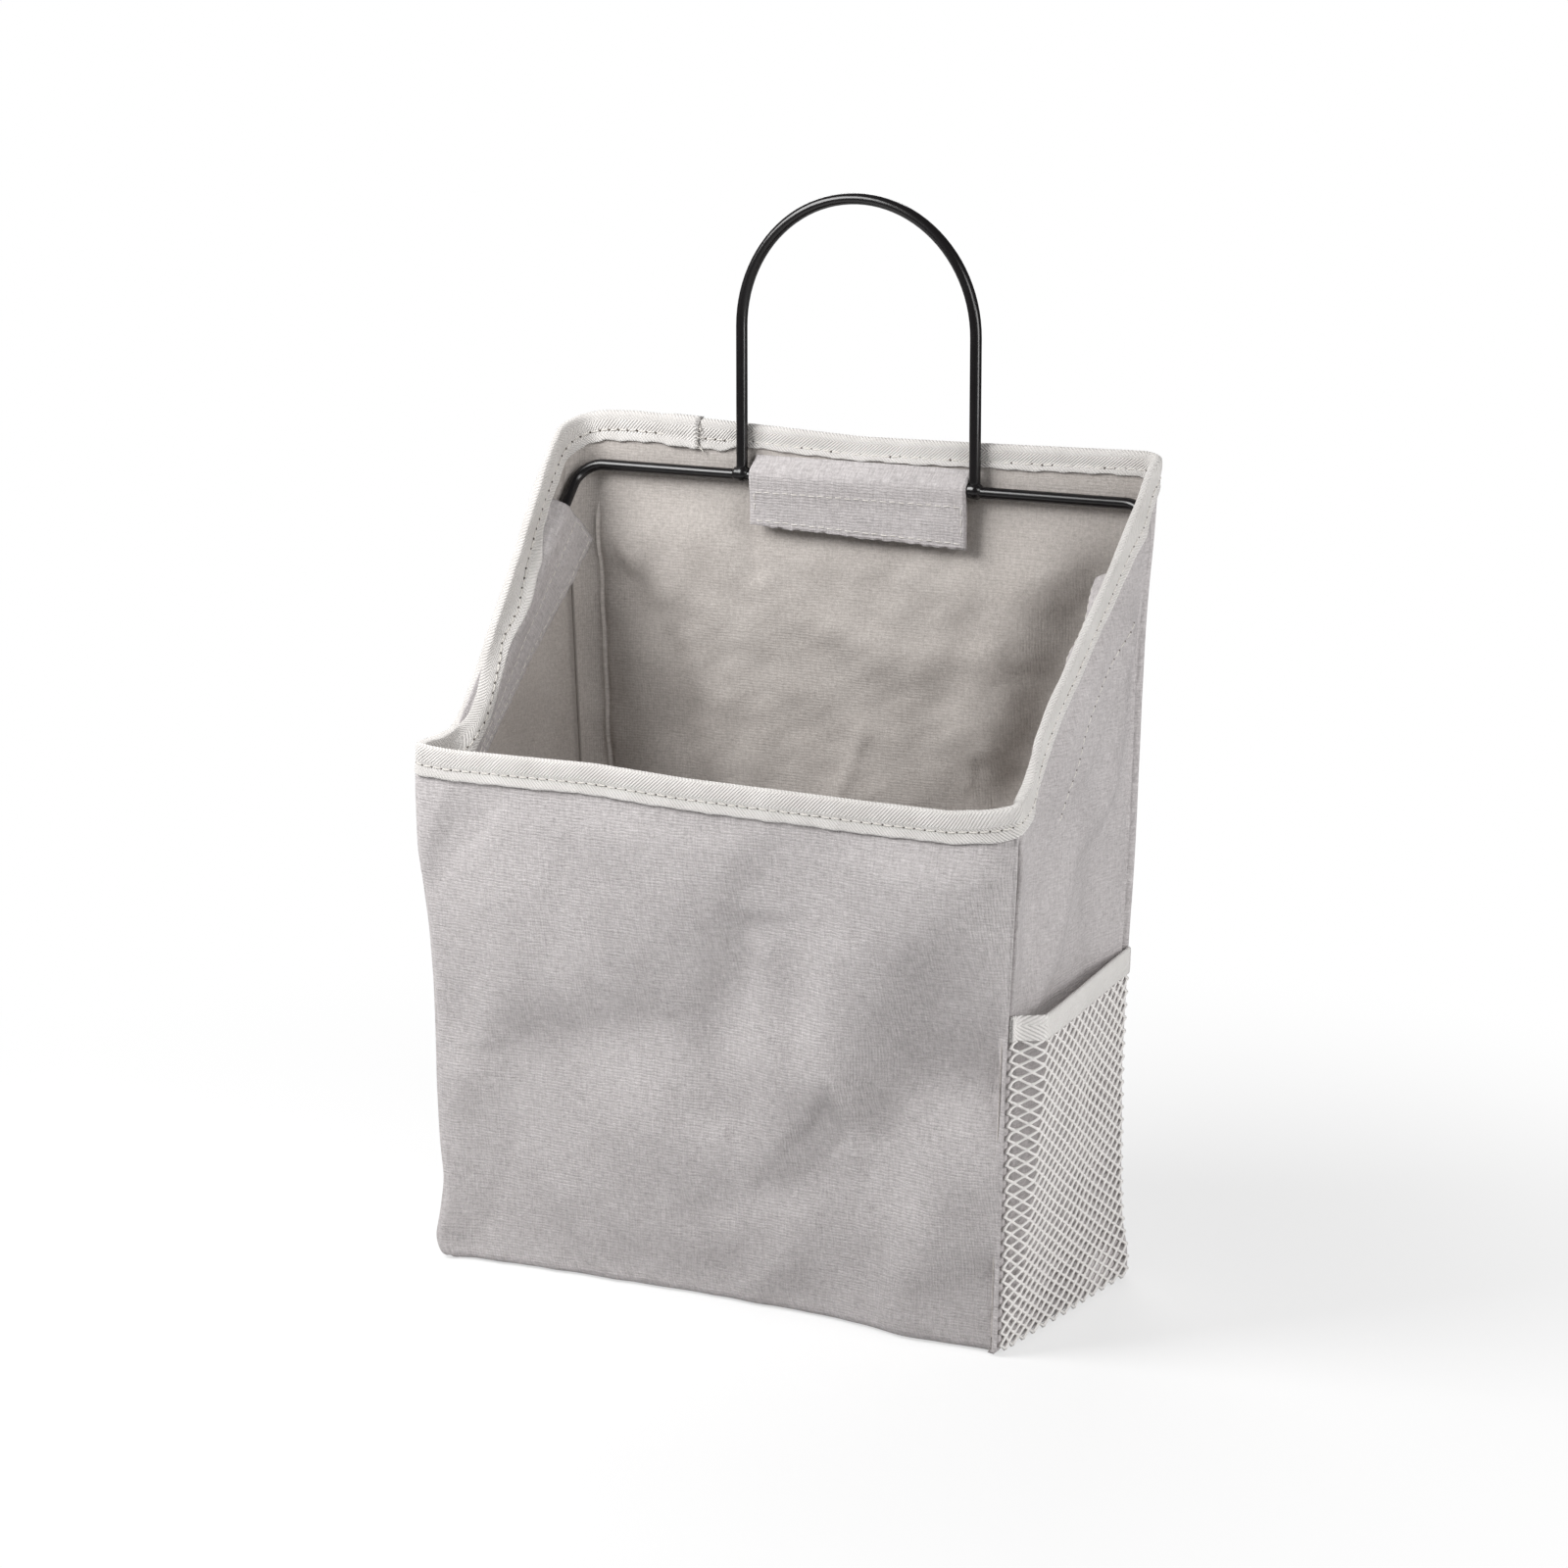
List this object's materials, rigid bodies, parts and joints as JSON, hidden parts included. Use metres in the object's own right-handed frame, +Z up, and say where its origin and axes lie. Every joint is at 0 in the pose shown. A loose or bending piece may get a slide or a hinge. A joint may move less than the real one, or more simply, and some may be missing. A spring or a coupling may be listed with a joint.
{
  "type": "hanging storage bag",
  "caption": "Canvas storage bag with a sloping open top, held open by a wire ring under fold-over flaps, with net side pockets and a wire hoop to hang it by.",
  "frame": {"origin": "centre of the underside, where the bag stands", "axes": "+Z up, +Y towards the wall behind, +X to the right of someone who faces the front"},
  "size_m": [0.2162, 0.0968, 0.3219],
  "materials": {
    "canvas": "plain woven grey canvas, soft and matte",
    "binding_tape": "off-white herringbone cotton tape",
    "coated_steel": "black coating, half gloss",
    "hook_tape": "nylon tape with fine stiff hooks",
    "loop_tape": "nylon tape with a soft looped pile",
    "netting": "white knotted polyester net"
  },
  "bodies": {
    "bag": {"front_panel": "canvas", "back_panel": "canvas", "left_side_panel": "canvas", "right_side_panel": "canvas", "bottom_panel": "canvas", "rim_binding": "binding_tape", "left_pocket_band": "binding_tape", "right_pocket_band": "binding_tape", "wire_ring": "coated_steel", "hanging_hoop": "coated_steel", "back_loop_strip": "loop_tape", "left_loop_strip": "loop_tape", "right_loop_strip": "loop_tape", "front_loop_strip": "loop_tape", "left_pocket_net": "netting", "right_pocket_net": "netting"},
    "back_flap": {"back_flap": "canvas", "back_hook_strip": "hook_tape"},
    "left_flap": {"left_flap": "canvas", "left_hook_strip": "hook_tape"},
    "right_flap": {"right_flap": "canvas", "right_hook_strip": "hook_tape"},
    "front_flap": {"front_flap": "canvas", "front_hook_strip": "hook_tape"}
  },
  "joints": [
    {"name": "back_flap_hinge", "type": "hinge", "parent": "bag", "child": "back_flap", "pos_m": [0, 0.0451, 0.2391], "axis": [-1, 0, 0], "range_deg": [0, 120]},
    {"name": "left_flap_hinge", "type": "hinge", "parent": "bag", "child": "left_flap", "pos_m": [-0.09776, -0.00429, 0.18857], "axis": [0.0222, -0.6735, -0.7389], "range_deg": [0, 120]},
    {"name": "right_flap_hinge", "type": "hinge", "parent": "bag", "child": "right_flap", "pos_m": [0.09776, -0.00429, 0.18857], "axis": [0.0222, 0.6735, 0.7389], "range_deg": [0, 120]},
    {"name": "front_flap_hinge", "type": "hinge", "parent": "bag", "child": "front_flap", "pos_m": [0, -0.0451, 0.1431], "axis": [1, 0, 0], "range_deg": [0, 120]}
  ]
}
